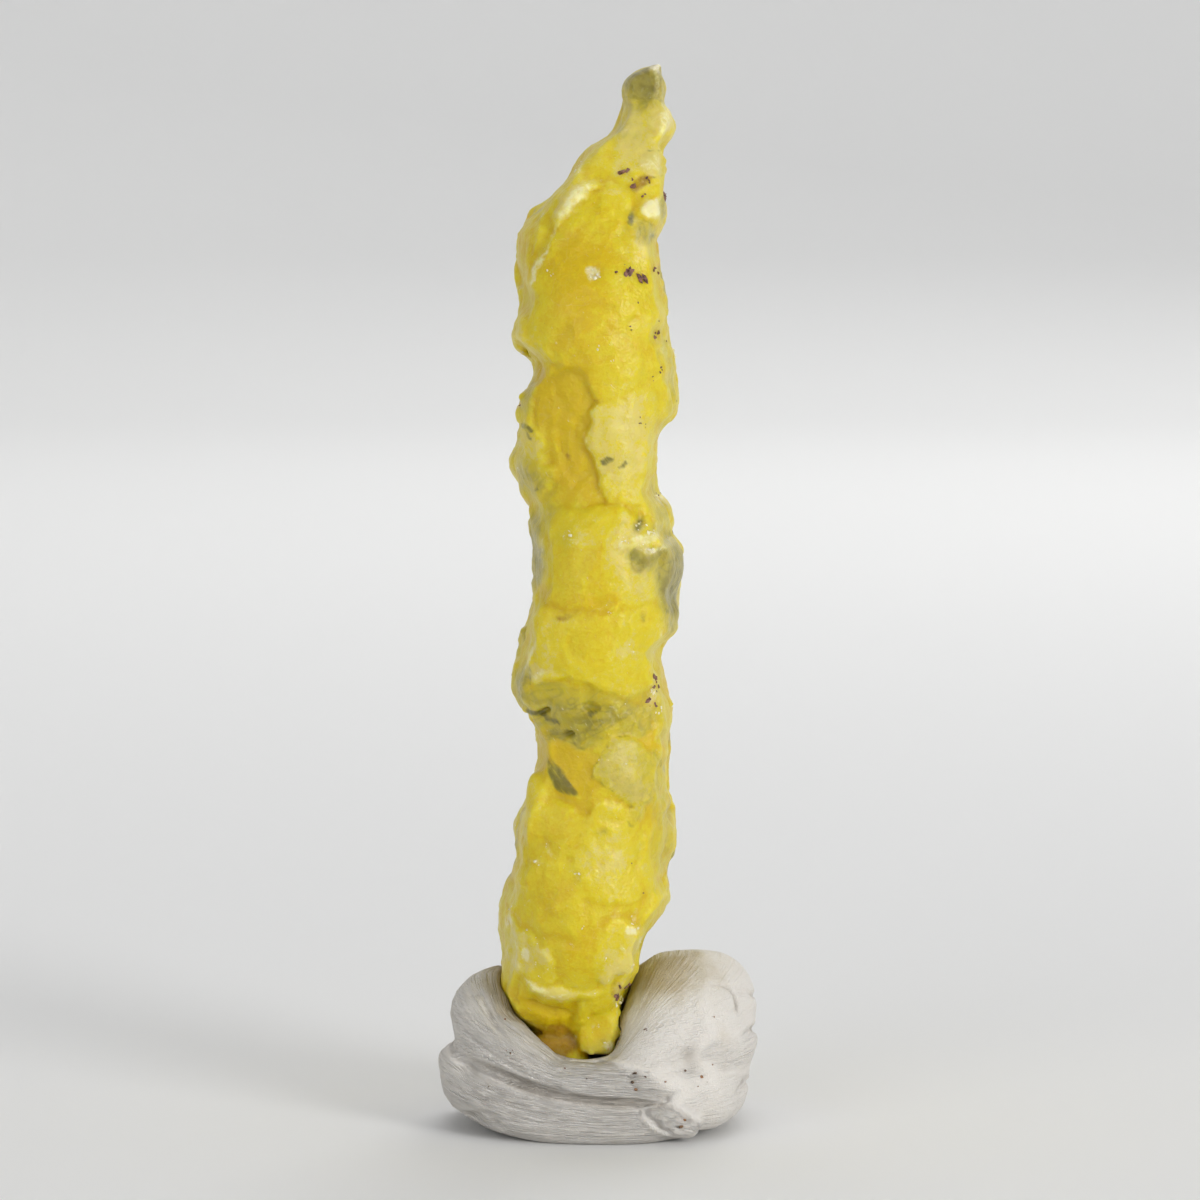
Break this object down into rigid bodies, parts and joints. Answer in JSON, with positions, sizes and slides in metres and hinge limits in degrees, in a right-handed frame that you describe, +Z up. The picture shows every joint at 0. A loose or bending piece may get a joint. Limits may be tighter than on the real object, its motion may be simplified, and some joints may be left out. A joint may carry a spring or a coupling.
{
  "type": "brucite mineral specimen on a putty stand",
  "caption": "Tall knobbly plate of translucent lemon-yellow brucite with grey-green patches, standing on its end in a kneaded lump of white putty.",
  "frame": {"origin": "on the surface that the putty rests on, under the middle of the part's box", "axes": "+Z up along the specimen's length; -Y is the front, the plate's narrow edge; +X is to the right seen from the front, square to the plate's broad faces"},
  "size_m": [0.0353, 0.0378, 0.1179],
  "materials": {
    "brucite": "waxy translucent",
    "putty": "matte"
  },
  "bodies": {
    "root": {"brucite_specimen": "brucite", "putty_lump": "putty"}
  },
  "joints": []
}
